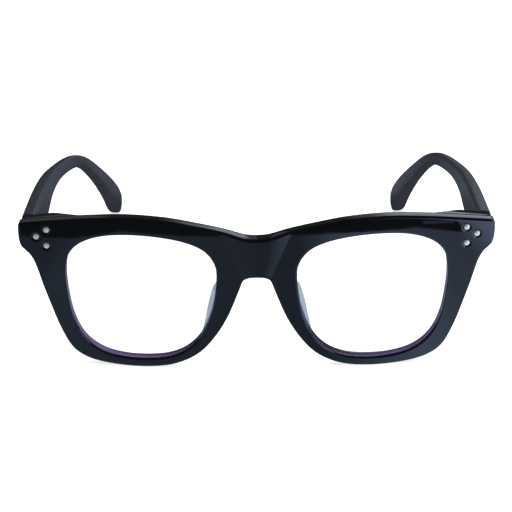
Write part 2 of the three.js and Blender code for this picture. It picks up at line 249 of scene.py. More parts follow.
def opening_loop(side, spacing):
    """The outline of one lens opening, anticlockwise."""
    loop = evenly(dense(LENS_OPENING, closed=True), spacing)[:-1]
    loop = [(side * x, z) for x, z in loop]
    return loop if side < 0 else loop[::-1]


def loop_area(loop):
    """Positive when the loop runs anticlockwise."""
    return sum(a[0] * b[1] - b[0] * a[1] for a, b in zip(loop, loop[1:] + loop[:1])) / 2


def moved_out(loop, distance, shares=None):
    """The loop moved outwards, square to itself; shares scale the distance at each point."""
    turn = math.copysign(1, loop_area(loop))
    moved = []
    for i, (x, z) in enumerate(loop):
        before, after = loop[i - 1], loop[(i + 1) % len(loop)]
        along = Vector((after[0] - before[0], after[1] - before[1])).normalized() * turn
        step = distance * (shares[i] if shares else 1)
        moved.append((x + along.y * step, z - along.x * step))
    return moved


CORNER_REACH = 3         # neighbours on each side over which room is evened out
ROOM_SHARE = 0.6         # the part of a corner's radius that an inset may take
LEAST_BEND = 1e-3
NO_LIMIT = 1e3


def corner_shares(loop, inset):
    """How much of an inset each point of the loop has room for, less at its sharp corners."""
    count = len(loop)
    turn = math.copysign(1, loop_area(loop))
    nearby = range(-CORNER_REACH, CORNER_REACH + 1)
    room = []
    for i in range(count):
        start, middle, end = (Vector(loop[(i + k) % count]) for k in (-2, 0, 2))
        bend = (middle - start).angle_signed(end - middle, 0) * -turn
        length = ((middle - start).length + (end - middle).length) / 2
        room.append(ROOM_SHARE * length / bend if bend > LEAST_BEND else NO_LIMIT)
    shares = []
    for i in range(count):
        nearest = min(room[(i + k) % count] for k in nearby)
        shares.append(min(1, nearest / inset))
    return [sum(shares[(i + k) % count] for k in nearby) / len(nearby) for i in range(count)]


def face_form(x):
    """How far back the face of the front lies at a place across it."""
    return BRIDGE_CENTRE_Y + x * x / (2 * FACE_FORM_RADIUS)


def lens_depth(x, z, side):
    """How far the lens's front surface lies behind the face of the front."""
    across, up = x - side * LENS_CENTRE[0], z - LENS_CENTRE[1]
    return LENS_SET + (across ** 2 + up ** 2) / (2 * LENS_RADIUS)


# ---- mesh helpers ----
WELD_DISTANCE = 1e-4


def placed(name, data):
    """A new object with its data, linked into the scene."""
    obj = bpy.data.objects.new(name, data)
    bpy.context.scene.collection.objects.link(obj)
    return obj


def new_object(name, points, faces):
    mesh = bpy.data.meshes.new(name)
    mesh.from_pydata([tuple(p) for p in points], [], faces)
    shape = bmesh.new()
    shape.from_mesh(mesh)
    bmesh.ops.remove_doubles(shape, verts=shape.verts, dist=WELD_DISTANCE)
    bmesh.ops.recalc_face_normals(shape, faces=shape.faces)
    shape.to_mesh(mesh)
    shape.free()
    return placed(name, mesh)


def applied(obj):
    """The object with its modifiers turned into plain mesh."""
    depsgraph = bpy.context.evaluated_depsgraph_get()
    mesh = bpy.data.meshes.new_from_object(obj.evaluated_get(depsgraph))
    obj.modifiers.clear()
    obj.data = mesh
    return obj


def combined(obj, others, operation):
    """The object joined with or cut by each of the others, which are used up."""
    for other in others:
        modifier = obj.modifiers.new("combine", "BOOLEAN")
        modifier.operation = operation
        modifier.solver = "MANIFOLD"
        modifier.object = other
        applied(obj)
        bpy.data.objects.remove(other)
    return obj


def ring_faces(first, second, count):
    """Faces between two rings, given the number of each ring's first point."""
    return [(first + i, first + (i + 1) % count, second + (i + 1) % count, second + i)
            for i in range(count)]


def loft(name, rings):
    """A closed body through rings of points, with a fan over each end."""
    count = len(rings[0])
    points = [p for ring in rings for p in ring]
    faces = []
    for k in range(len(rings) - 1):
        faces += ring_faces(k * count, (k + 1) * count, count)
    for start in (0, len(points) - count):
        ring = [Vector(p) for p in points[start:start + count]]
        centre = len(points)
        points.append(sum(ring, Vector()) / count)
        faces += [(start + i, start + (i + 1) % count, centre) for i in range(count)]
    return new_object(name, points, faces)


def turned(name, profile, sides, place):
    """A body turned about an upright axis from a profile of radius and height."""
    rings = []
    for radius, height in profile:
        angles = [2 * math.pi * k / sides for k in range(sides)]
        rings.append([(place[0] + radius * math.cos(a), place[1] + radius * math.sin(a),
                       place[2] + height) for a in angles])
    return loft(name, rings)


def barrel(name, radius, z0, z1, side):
    place = (side * HINGE_X, HINGE_Y, 0)
    return turned(name, [(radius, z0), (radius, z1)], BARREL_SIDES, place)


def slab(name, outline, low, high, across):
    """A flat body: its outline in the two directions square to the one across."""
    def place(p, depth):
        return {"x": (depth, *p), "y": (p[0], depth, p[1]), "z": (*p, depth)}[across]
    return loft(name, [[place(p, low) for p in outline], [place(p, high) for p in outline]])


def box_outline(a0, a1, b0, b1):
    return [(a0, b0), (a1, b0), (a1, b1), (a0, b1)]


def own_side(x0, x1, side):
    """A range across the left half, mirrored for the right one."""
    return (x0, x1) if side > 0 else (-x1, -x0)


def rounded_corners(outline, radii, steps):
    """The outline with an arc at each corner; radii is one number, or one for each corner."""
    if not isinstance(radii, tuple):
        radii = (radii,) * len(outline)
    result = []
    for i, radius in enumerate(radii):
        corner = Vector(outline[i])
        to_before = Vector(outline[i - 1]) - corner
        to_after = Vector(outline[(i + 1) % len(outline)]) - corner
        half_angle = to_before.angle(to_after) / 2
        reach = radius / math.tan(half_angle)
        start = corner + to_before.normalized() * reach
        end = corner + to_after.normalized() * reach
        for k in range(steps + 1):
            t = k / steps
            result.append(tuple((1 - t) ** 2 * start + 2 * t * (1 - t) * corner + t ** 2 * end))
    return result


BEVEL_SEGMENTS = 2
BEVEL_DEGREES = 30


def finish(obj, body, material, replaced, crease_degrees, bevel=0):
    """Scales a piece to metres, smooths it, and hands it to its body."""
    if bevel:
        modifier = obj.modifiers.new("worn edges", "BEVEL")
        modifier.width = bevel
        modifier.segments = BEVEL_SEGMENTS
        modifier.limit_method = "ANGLE"
        modifier.angle_limit = math.radians(BEVEL_DEGREES)
        applied(obj)
    obj.data.transform(Matrix.Scale(MM, 4))
    obj.data.materials.clear()
    obj.data.materials.append(material)
    obj.data.polygons.foreach_set("use_smooth", [True] * len(obj.data.polygons))
    obj.data.polygons.foreach_set("material_index", [0] * len(obj.data.polygons))
    obj.data.set_sharp_from_angle(angle=math.radians(crease_degrees))
    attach(obj, body)
    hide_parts(*replaced)
    return obj


# ---- node helpers ----
def node(tree, kind, links=(), **settings):
    """A node with its settings; links fills its inputs from values or from other sockets."""
    made = tree.nodes.new(kind)
    for key, value in settings.items():
        setattr(made, key, value)
    for key, value in dict(links).items():
        socket = made.inputs[key]
        if isinstance(value, bpy.types.NodeSocket):
            tree.links.new(value, socket)
        else:
            socket.default_value = value
    return made


def maths(tree, operation, *values):
    return node(tree, "ShaderNodeMath", dict(enumerate(values)), operation=operation).outputs[0]


def blank_material(name):
    material = bpy.data.materials.new(name)
    material.use_nodes = True
    material.node_tree.nodes.clear()
    return material, material.node_tree


def surface(tree, shader):
    node(tree, "ShaderNodeOutputMaterial", {"Surface": shader})


def object_noise(tree, scale, detail, stretch=(1, 1, 1), roughness=0.5):
    """Noise laid on the piece in its own coordinates; scale is repeats per metre."""
    place = node(tree, "ShaderNodeTexCoord").outputs["Object"]
    place = node(tree, "ShaderNodeMapping", {"Vector": place, "Scale": stretch}).outputs[0]
    return node(tree, "ShaderNodeTexNoise", {
        "Vector": place, "Scale": scale, "Detail": detail, "Roughness": roughness}).outputs["Fac"]


def between(tree, factor, low, high):
    """Noise, which seldom leaves 0.3 to 0.7, spread from low to high."""
    return node(tree, "ShaderNodeMapRange", {
        "Value": factor, "From Min": 0.3, "From Max": 0.7, "To Min": low, "To Max": high}).outputs[0]


def blend_colours(tree, factor, first, second):
    colours = {"Factor": factor, 6: (*first, 1), 7: (*second, 1)}
    return node(tree, "ShaderNodeMix", colours, data_type="RGBA").outputs[2]


# ---- finishes ----
STAIN_SHADE = 0.78
FACE_SHINE = 0.02
EDGE_SHINE = 0.4
RIM_REFLECTION_STRENGTH = 0.7
PAD_BODY_SHARE = 0.62


def moulded_plastic(name, dark, light, rough_low, rough_high, grain_scale, grain_height, level):
    """Injection-moulded plastic: faint mottle in the colour, uneven polish and a fine skin."""
    material, tree = blank_material(name)
    mottle = object_noise(tree, 260, 4)
    polish = object_noise(tree, 520, 5, roughness=0.65)
    grain = object_noise(tree, grain_scale, 2)
    bump = node(tree, "ShaderNodeBump", {
        "Height": grain, "Strength": 0.2, "Distance": grain_height * MM})
    shader = node(tree, "ShaderNodeBsdfPrincipled", {
        "Base Color": blend_colours(tree, mottle, dark, light),
        "Roughness": between(tree, polish, rough_low, rough_high),
        "Normal": bump.outputs[0], "IOR": 1.5, "Specular IOR Level": level,
        "Specular Tint": (0.84, 0.93, 1, 1)})
    surface(tree, shader.outputs[0])
    return material


def brushed_metal(name, tint, rough_low, rough_high, stretch, metallic):
    """Metal with fine brush lines along one direction and small stains in the polish."""
    material, tree = blank_material(name)
    lines = object_noise(tree, 900, 4, stretch)
    stains = object_noise(tree, 700, 3)
    bump = node(tree, "ShaderNodeBump", {
        "Height": lines, "Strength": 0.25, "Distance": 0.02 * MM})
    darker = tuple(c * STAIN_SHADE for c in tint)
    shader = node(tree, "ShaderNodeBsdfPrincipled", {
        "Base Color": blend_colours(tree, stains, darker, tint),
        "Roughness": between(tree, lines, rough_low, rough_high),
        "Normal": bump.outputs[0], "Metallic": metallic})
    surface(tree, shader.outputs[0])
    return material


def coated_lens():
    """Clear lens with a faint blue-violet coating, and a matt violet bevel at its rim that is a
    painted reflection of the groove wall.
    """
    material, tree = blank_material("coated clear lens")
    clear = node(tree, "ShaderNodeBsdfTransparent", {"Color": (0.965, 0.972, 0.985, 1)})
    shine = node(tree, "ShaderNodeBsdfGlossy", {
        "Color": (0.62, 0.55, 1.0, 1), "Roughness": 0.03})
    facing = node(tree, "ShaderNodeLayerWeight", {"Blend": 0.5}).outputs["Facing"]
    amount = maths(tree, "MULTIPLY_ADD", maths(tree, "POWER", facing, 4), EDGE_SHINE, FACE_SHINE)
    glass = node(tree, "ShaderNodeMixShader", {
        0: amount, 1: clear.outputs[0], 2: shine.outputs[0]})
    # A painted violet reflection of the groove wall, mixed in near the lens edge by the rim
    # attribute.
    rim_reflection_shader = node(tree, "ShaderNodeBsdfPrincipled", {
        "Base Color": (0.44, 0.31, 0.66, 1), "Roughness": 0.3})
    rim = node(tree, "ShaderNodeAttribute", attribute_name="rim")
    amount = maths(tree, "MULTIPLY", rim.outputs["Fac"], RIM_REFLECTION_STRENGTH)
    mixed = node(tree, "ShaderNodeMixShader", {
        0: amount, 1: glass.outputs[0], 2: rim_reflection_shader.outputs[0]})
    surface(tree, mixed.outputs[0])
    return material


def clear_pad():
    """Frosted clear plastic with a blue-grey cast."""
    material, tree = blank_material("frosted pad plastic")
    cloud = object_noise(tree, 300, 3)
    body = node(tree, "ShaderNodeBsdfPrincipled", {
        "Base Color": blend_colours(tree, cloud, (0.34, 0.40, 0.52), (0.43, 0.49, 0.61)),
        "Roughness": between(tree, cloud, 0.16, 0.3), "IOR": 1.45})
    clear = node(tree, "ShaderNodeBsdfTransparent", {"Color": (0.90, 0.93, 1.0, 1)})
    mixed = node(tree, "ShaderNodeMixShader", {
        0: PAD_BODY_SHARE, 1: clear.outputs[0], 2: body.outputs[0]})
    surface(tree, mixed.outputs[0])
    return material


GLOSS_BLACK = moulded_plastic(
    "gloss black plastic", (0.0015, 0.0017, 0.0024), (0.0026, 0.003, 0.004), 0.02, 0.05, 1400,
    0.003, 0.5)
SATIN_BLACK = moulded_plastic(
    "satin black plastic", (0.018, 0.021, 0.030), (0.028, 0.032, 0.043), 0.36, 0.48, 5200, 0.012,
    0.42)
CLEAR_LENS = coated_lens()
CLEAR_PAD = clear_pad()
HINGE_STEEL = brushed_metal("dark brushed steel", (0.13, 0.135, 0.15), 0.28, 0.42, (1, 1, 14), 1)
RIVET_SILVER = brushed_metal("satin rivet silver", (0.74, 0.75, 0.77), 0.3, 0.42, (1, 1, 1), 0.6)


# ---- geometry node trees ----
def empty_tree(name, sizes):
    """A tree with a Geometry input and output, named sizes and a material."""
    tree = bpy.data.node_groups.new(name, "GeometryNodeTree")
    face = tree.interface
    face.new_socket("Geometry", in_out="INPUT", socket_type="NodeSocketGeometry")
    for label, value in sizes.items():
        socket = face.new_socket(label, in_out="INPUT", socket_type="NodeSocketFloat")
        socket.default_value = value
    face.new_socket("Finish", in_out="INPUT", socket_type="NodeSocketMaterial")
    face.new_socket("Geometry", in_out="OUTPUT", socket_type="NodeSocketGeometry")
    given = tree.nodes.new("NodeGroupInput").outputs
    return tree, {socket.name: socket for socket in given if socket.name}


def close_tree(tree, geometry, finish_socket):
    """Ends a tree with real geometry in its material."""
    real = node(tree, "GeometryNodeRealizeInstances", {"Geometry": geometry})
    painted = node(tree, "GeometryNodeSetMaterial", {
        "Geometry": real.outputs[0], "Material": finish_socket})
    node(tree, "NodeGroupOutput", {0: painted.outputs[0]})


def grown(obj, tree, finish_material, **sizes):
    """The object run through a tree; sizes are given by their names in lower case."""
    modifier = obj.modifiers.new(tree.name, "NODES")
    modifier.node_group = tree
    for item in tree.interface.items_tree:
        if item.in_out != "INPUT":
            continue
        if item.name == "Finish":
            modifier[item.identifier] = finish_material
        elif item.name.lower() in sizes:
            modifier[item.identifier] = float(sizes[item.name.lower()])
    return applied(obj)


def position(tree):
    """The X, Y and Z of each point."""
    place = node(tree, "GeometryNodeInputPosition").outputs[0]
    return node(tree, "ShaderNodeSeparateXYZ", {0: place}).outputs


def front_form_tree():
    """Bends a flat front to the face form and swells its bridge between two creases."""
    tree, size = empty_tree("front form", {
        "Face Form Radius": FACE_FORM_RADIUS, "Bridge Centre": BRIDGE_CENTRE_Y,
        "Bridge Bulge": BRIDGE_BULGE, "Crease Half Width": CREASE_HALF_WIDTH,
        "Crease Foot": CREASE_FOOT_Z, "Crease Lean": CREASE_LEAN,
        "Crease Softness": CREASE_SOFTNESS, "Thickness": RIM_THICKNESS})
    place = position(tree)
    do = partial(maths, tree)
    bend = do("DIVIDE", do("MULTIPLY", place["X"], place["X"]),
              do("MULTIPLY", size["Face Form Radius"], 2))
    rise = do("SUBTRACT", place["Z"], size["Crease Foot"])
    half = do("MULTIPLY_ADD", rise, size["Crease Lean"], size["Crease Half Width"])
    across = do("DIVIDE", place["X"], half)
    crown = do("SUBTRACT", 1, do("MULTIPLY", across, across))
    softened = do("SQRT", do("MULTIPLY_ADD", crown, crown, do(
        "MULTIPLY", size["Crease Softness"], size["Crease Softness"])))
    crown = do("MULTIPLY", do("ADD", crown, softened), CROWN_SCALE)
    fade = do("SUBTRACT", 1, do("DIVIDE", place["Y"], size["Thickness"]))
    swell = do("MULTIPLY", do("MULTIPLY", crown, fade), size["Bridge Bulge"])
    shift = do("SUBTRACT", do("ADD", bend, size["Bridge Centre"]), swell)
    offset = node(tree, "ShaderNodeCombineXYZ", {"Y": shift})
    bent = node(tree, "GeometryNodeSetPosition", {
        "Geometry": size["Geometry"], "Offset": offset.outputs[0]})
    close_tree(tree, bent.outputs[0], size["Finish"])
    return tree


def rivet_tree():
    """Sets a low dome, pointing forwards, on every point."""
    tree, size = empty_tree("rivet heads", {
        "Radius": RIVET_RADIUS, "Rise": RIVET_RISE, "Foot": 0.06, "Sides": 40})
    ball = node(tree, "GeometryNodeMeshUVSphere", {
        "Segments": size["Sides"], "Rings": 20, "Radius": size["Radius"]})
    height = position(tree)["Z"]
    up = maths(tree, "MULTIPLY", maths(tree, "MAXIMUM", height, 0),
               maths(tree, "DIVIDE", size["Rise"], size["Radius"]))
    down = maths(tree, "MULTIPLY", maths(tree, "MINIMUM", height, 0), size["Foot"])
    shift = maths(tree, "SUBTRACT", maths(tree, "ADD", up, down), height)
    dome = node(tree, "GeometryNodeSetPosition", {
        "Geometry": ball.outputs[0],
        "Offset": node(tree, "ShaderNodeCombineXYZ", {"Z": shift}).outputs[0]})
    spread = node(tree, "GeometryNodeInstanceOnPoints", {
        "Points": size["Geometry"], "Instance": dome.outputs[0],
        "Rotation": (math.pi / 2, 0, 0)})
    close_tree(tree, spread.outputs[0], size["Finish"])
    return tree


def wire_tree():
    """A round wire along a line of points."""
    tree, size = empty_tree("wire along a line", {"Radius": WIRE_RADIUS, "Sides": 20})
    line = node(tree, "GeometryNodeMeshToCurve", {0: size["Geometry"]})
    section = node(tree, "GeometryNodeCurvePrimitiveCircle", {
        "Resolution": size["Sides"], "Radius": size["Radius"]})
    wire = node(tree, "GeometryNodeCurveToMesh", {
        "Curve": line.outputs[0], "Profile Curve": section.outputs[0], "Fill Caps": True})
    welded = node(tree, "GeometryNodeMergeByDistance", {
        "Geometry": wire.outputs[0], "Distance": WELD_DISTANCE})
    close_tree(tree, welded.outputs[0], size["Finish"])
    return tree


# ---- the front ----
RIVET_NODES = [f"front_rivet_{word}_{k}" for word, _ in SIDES for k in (1, 2, 3)]
RIVET_PLACES = []
for low, high in map(node_box, RIVET_NODES):
    RIVET_PLACES.append(((low.x + high.x) / 2, (low.z + high.z) / 2))


def inside(loop, points):
    """Which of the points lie inside the loop."""
    result = np.zeros(len(points), bool)
    for (x0, z0), (x1, z1) in zip(loop, loop[1:] + loop[:1]):
        if z0 == z1:
            continue
        spans = (z0 > points[:, 1]) != (z1 > points[:, 1])
        result ^= spans & (points[:, 0] < (x1 - x0) * (points[:, 1] - z0) / (z1 - z0) + x0)
    return result


def clear_of(points, others, distance):
    """Which of the points are at least a distance from all the others."""
    keep = np.ones(len(points), bool)
    for start in range(0, len(points), 400):
        part = points[start:start + 400]
        gaps = ((part[:, None] - others[None]) ** 2).sum(2).min(1)
        keep[start:start + 400] = gaps >= distance ** 2
    return keep


def sink_points():
    """Rings of points round each rivet, and the depth of its sink at each."""
    rings = [(0.0, 1), (0.5, 18), (0.85, 36)]
    rings += [(SINK_FLOOR_RADIUS + k * 0.06, 48) for k in range(9)]
    rings += [(1.56, 48), (1.75, 36)]
    points = []
    for x, z in RIVET_PLACES:
        for radius, count in rings:
            for k in range(count):
                angle = 2 * math.pi * k / count
                points.append((x + radius * math.cos(angle), z + radius * math.sin(angle)))
    return np.array(points)


def sink_depth(x, z):
    """How deep the nearest rivet's sink is at a place on the face."""
    distance = min(math.hypot(x - rx, z - rz) for rx, rz in RIVET_PLACES)
    t = min(max((SINK_RADIUS - distance) / (SINK_RADIUS - SINK_FLOOR_RADIUS), 0), 1)
    return SINK_DEPTH * t ** SINK_SLOPE


CREASE_ROWS = (29.5, 45.5, 0.35)     # bottom, top and step
CREASE_OFFSETS = (-0.8, -0.42, -0.2, 0, 0.2, 0.42, 0.8)
GRID_STEP = 1.15
ROW_SHARE = 0.87
# The least distance that points keep from the edge, and each kind from those already chosen.
EDGE_ROOM, SINK_ROOM, CREASE_ROOM, GRID_ROOM = 0.3, 0.03, 0.15, 0.75


def crease_points():
    """Rows of points across the two creases of the bridge."""
    points = []
    for z in np.arange(*CREASE_ROWS):
        half = CREASE_HALF_WIDTH + (z - CREASE_FOOT_Z) * CREASE_LEAN
        for side in (-1, 1):
            for offset in CREASE_OFFSETS:
                points.append((side * (half + offset), z))
    return np.array(points)


def grid_points(step):
    """Staggered rows of points, over more than the whole front."""
    points = []
    for row, z in enumerate(np.arange(0, 51, step * ROW_SHARE)):
        for x in np.arange(-75 + (row % 2) * step / 2, 75, step):
            points.append((x, z))
    return np.array(points)


def cap_points(loops, detailed):
    """Points spread over one face of the front, finer at the creases and the rivet sinks."""
    edge = np.array([p for loop in loops for p in loop])
    chosen = np.empty((0, 2))
    groups = [(grid_points(GRID_STEP), GRID_ROOM)]
    if detailed:
        groups = [(sink_points(), SINK_ROOM), (crease_points(), CREASE_ROOM)] + groups
    for points, room in groups:
        fits = inside(loops[0], points) & clear_of(points, edge, EDGE_ROOM)
        for hole in loops[1:]:
            fits &= ~inside(hole, points)
        if len(chosen):
            fits &= clear_of(points, chosen, room)
        chosen = np.vstack([chosen, points[fits]])
    return chosen


def cap(loops, detailed):
    """The extra points and the triangles of one face; they number the loops, then the extras."""
    extra = cap_points(loops, detailed)
    coords = [Vector(p) for loop in loops for p in loop] + [Vector(p) for p in extra]
    edges = []
    start = 0
    for loop in loops:
        edges += [(start + i, start + (i + 1) % len(loop)) for i in range(len(loop))]
        start += len(loop)
    made, _, faces, origin, _, _ = delaunay_2d_cdt(coords, edges, [], 0, 1e-7)
    centres = np.array([sum((made[i] for i in face), Vector((0, 0))) / 3 for face in faces])
    fits = inside(loops[0], centres)
    for hole in loops[1:]:
        fits &= ~inside(hole, centres)
    triangles = [tuple(origin[i][0] for i in face) for face, good in zip(faces, fits) if good]
    return extra, triangles


def quarter_arc(radius, steps):
    """How far along one face, then in from the other, the points of a rounded edge lie."""
    angles = [math.pi / 2 * k / steps for k in range(steps + 1)]
    return [(radius * (1 - math.sin(a)), radius * (1 - math.cos(a))) for a in angles]


def edge_rows(loop, radius, into, side=None):
    """Rows of points round one edge of the flat front, from its face to its back.

    The plastic lies inside the loop when into is -1. A side is given for a grooved opening.
    """
    rows = []
    front = [(radius + SUPPORT_STEP, 0)] + quarter_arc(radius, EDGE_STEPS)
    shares = corner_shares(loop, radius + SUPPORT_STEP) if into < 0 else None
    for inset, depth in front:
        rows.append([(x, depth, z) for x, z in moved_out(loop, into * inset, shares)])
    if side is not None:
        for seat, back in ((0, 0), (LENS_SEAT + GAP, 0), (LENS_SEAT + GAP, 1), (0, 1)):
            depth = back * (LENS_THICKNESS + 2 * GAP) - GAP
            rows.append([(x, lens_depth(x, z, side) + depth, z)
                         for x, z in moved_out(loop, into * seat)])
    for inset, depth in reversed(front):
        rows.append([(x, RIM_THICKNESS - depth, z)
                     for x, z in moved_out(loop, into * inset, shares)])
    return rows


def flat_front():
    """The front before bending: rounded edges, lens grooves and rivet sinks."""
    walls = [edge_rows(front_loop(OUTLINE_SPACING), OUTER_EDGE_RADIUS, -1)]
    for _, side in SIDES:
        opening = opening_loop(side, OUTLINE_SPACING)
        walls.append(edge_rows(opening, OPENING_EDGE_RADIUS, 1, side))
    points, faces, first_rows, last_rows = [], [], [], []
    for rows in walls:
        count = len(rows[0])
        start = len(points)
        for k in range(len(rows) - 1):
            faces += ring_faces(start + k * count, start + (k + 1) * count, count)
        first_rows += range(start, start + count)
        last_rows += range(start + (len(rows) - 1) * count, start + len(rows) * count)
        points += [p for row in rows for p in row]
    for corners, detailed, depth in ((first_rows, True, 0), (last_rows, False, RIM_THICKNESS)):
        loops, taken = [], 0
        for rows in walls:
            numbers = corners[taken:taken + len(rows[0])]
            taken += len(rows[0])
            loops.append([(points[i][0], points[i][2]) for i in numbers])
        extra, triangles = cap(loops, detailed)
        numbers = list(corners) + list(range(len(points), len(points) + len(extra)))
        for x, z in extra:
            points.append((x, sink_depth(x, z) if detailed else depth, z))
        faces += [tuple(numbers[i] for i in triangle) for triangle in triangles]
    return new_object("front", points, faces)


# The hinge block seen from the front: its outer side, and its inner side at both ends.
BLOCK_OUTER = [(71.6, 37.9), (72.7, 39.4), (73.2, 43.3), (73, 45.5), (71.8, 46.7)]
BLOCK_WEDGE = [(52, 48.8), (48.4, 48.6), (48, 45.6), (54, 43.8), (59.6, 40.2), (61, 37.8)]
BLOCK_BACK = [(64, 47.5), (62.4, 47.4), (61.5, 46.6), (61.2, 43.8), (61.35, 40.2), (62.4, 37.8)]


def hinge_block(side):
    """The block behind one end of the front: a wedge that narrows to a flat, soft-edged back."""
    depth = BLOCK_BACK_Y - BLOCK_FRONT_Y
    stops = [(0, 0), (depth / 2, 0)]
    for short, inset in quarter_arc(BLOCK_BACK_RADIUS, BLOCK_STEPS):
        stops.append((depth - short, inset))
    rings = []
    for back, inset in stops:
        inner = [tuple(Vector(a).lerp(Vector(b), back / depth))
                 for a, b in zip(BLOCK_WEDGE, BLOCK_BACK)]
        ring = rounded_corners(BLOCK_OUTER + inner, BLOCK_CORNER_RADIUS, 4)
        ring = moved_out(ring, -inset)
        rings.append([(side * x, BLOCK_FRONT_Y + back, z) for x, z in ring])
    return loft("block", rings)


FRONT_LEAF = {"x": (62.4, 68.6), "z": (HINGE_Z - BARREL_HALF_HEIGHT, HINGE_Z + BARREL_HALF_HEIGHT)}
TONGUE = {"x": (63.4, 66.4), "z": (HINGE_Z - 0.9, HINGE_Z + 0.9), "length": 3.4}


def front_leaf_seat(side, margin):
    """The plate and the tongue of a front leaf, grown by a margin, as two bodies."""
    plate_front = BLOCK_BACK_Y - LEAF_THICKNESS
    bodies = []
    for part, low, high in ((FRONT_LEAF, plate_front, BLOCK_BACK_Y),
                            (TONGUE, plate_front - TONGUE["length"], plate_front + OVERLAP)):
        x0, x1 = own_side(*part["x"], side)
        z0, z1 = part["z"]
        outline = box_outline(x0 - margin, x1 + margin, z0 - margin, z1 + margin)
        if part is FRONT_LEAF:
            outline = rounded_corners(outline, LEAF_CORNER_RADIUS, 5)
        bodies.append(slab("seat", outline, low - margin, high + margin, "y"))
    return bodies


front = grown(flat_front(), front_form_tree(), GLOSS_BLACK)
for _, side in SIDES:
    combined(front, [hinge_block(side)], "UNION")
    combined(front, front_leaf_seat(side, GAP), "DIFFERENCE")
finish(front, "front", GLOSS_BLACK, ["front_frame"], 38)

# ---- rivets: six low domes, one piece ----
sink_floor = [(x, face_form(x) + SINK_DEPTH, z) for x, z in RIVET_PLACES]
rivets = new_object("rivets", sink_floor, [])
grown(rivets, rivet_tree(), RIVET_SILVER)
finish(rivets, "front", RIVET_SILVER, RIVET_NODES, 60)


# ---- lenses ----
def lens(word, side):
    """A thin domed sheet with a bevelled rim; rim holds the painted violet reflection at each point,
    strongest near the edge low on the outer side.
    """
    outline = moved_out(opening_loop(side, LENS_SPACING), LENS_SEAT)
    centre = Vector((side * LENS_CENTRE[0], LENS_CENTRE[1]))
    half = [(scale, 0) for scale in (
        0.03, 0.1, 0.2, 0.3, 0.4, 0.5, 0.6, 0.7, 0.8, 0.88, 0.92, 0.94, 0.955, 0.97)]
    half += [(0.985, 0.02), (0.995, 0.2), (1, LENS_BEVEL)]
    stops = half + [(scale, LENS_THICKNESS - depth) for scale, depth in reversed(half)]
    rings = []
    for scale, depth in stops:
        ring = []
        for point in outline:
            x, z = centre + (Vector(point) - centre) * scale
            ring.append((x, face_form(x) + lens_depth(x, z, side) + depth, z))
        rings.append(ring)
    obj = loft(f"clear_lens_{word}", rings)
    # rim: painted violet reflection that fades in towards the edge, is strongest low on the outer
    # side and is weaker on the left lens.
    edge = np.array(outline)
    values = []
    for vertex in obj.data.vertices:
        distance = np.sqrt(((edge - (vertex.co.x, vertex.co.z)) ** 2).sum(1).min())
        t = min(max((LENS_SEAT + RIM_REFLECTION_WIDTH - distance) / RIM_REFLECTION_WIDTH, 0), 1)
        low_outside = (side * (vertex.co.x - centre.x) * RIM_REFLECTION_TOWARDS[0]
                       + (vertex.co.z - centre.y) * RIM_REFLECTION_TOWARDS[1])
        turn = min(max(low_outside / LENS_CENTRE[1], 0), 1)
        values.append(t * t * (3 - 2 * t) * turn * RIM_REFLECTION_SHARE[side])
    obj.data.attributes.new("rim", "FLOAT", "POINT").data.foreach_set("value", values)
    return finish(obj, "front", CLEAR_LENS, [f"lens_{word}"], 50)


# ---- nose pads ----
def nose_pad(word, side):
    """A slanted wing behind the nose side of the rim, smooth all round."""
    half = PAD_HALF_THICKNESS
    spans = len(PAD_STATIONS) - 1
    rings = []
    for k in range(PAD_RINGS):
        height, root_x, spread, reach = on_spline(PAD_STATIONS, spans * k / (PAD_RINGS - 1))
        root = face_form(root_x) + RIM_THICKNESS + GAP
        cage = [
            (root_x - half, root), (root_x, root), (root_x + half, root),
            (root_x + spread + half * 0.9, root + reach * 0.7),
            (root_x + spread + 0.6, root + reach), (root_x + spread - 0.6, root + reach),
            (root_x + spread - half * 1.1, root + reach * 0.75),
        ]
        section = dense(cage, closed=True, steps=6)
        centre = sum((Vector(p) for p in section), Vector((0, 0))) / len(section)
        from_end = min(k, PAD_RINGS - 1 - k)
        scale = PAD_END_SCALES[from_end] if from_end < len(PAD_END_SCALES) else 1
        ring = [centre + (Vector(p) - centre) * scale for p in section]
        rings.append([(side * x, max(y, root), height) for x, y in ring])
    return finish(loft(f"nose_wing_{word}", rings), "front", CLEAR_PAD,
                  [f"nose_pad_{word}"], 60)


# ---- temples ----
STATION_TABLE = np.array(dense(TEMPLE_STATIONS, steps=30))


def temple_section(back):
    """Outer face, top, height and thickness of the temple at a distance behind its butt."""
    outer, top, height, thickness = (
        np.interp(back, STATION_TABLE[:, 0], STATION_TABLE[:, k]) for k in (1, 2, 3, 4))
    return outer, top, min(height, top), thickness


def end_inset(back, length, butt_radius, tip_radius):
    """How much the section draws in near the rounded butt and tip."""
    inset = 0
    for radius, distance in ((butt_radius, back), (tip_radius, length - back)):
        if distance < radius:
            inset = max(inset, radius - math.sqrt(radius ** 2 - (radius - distance) ** 2))
    return inset


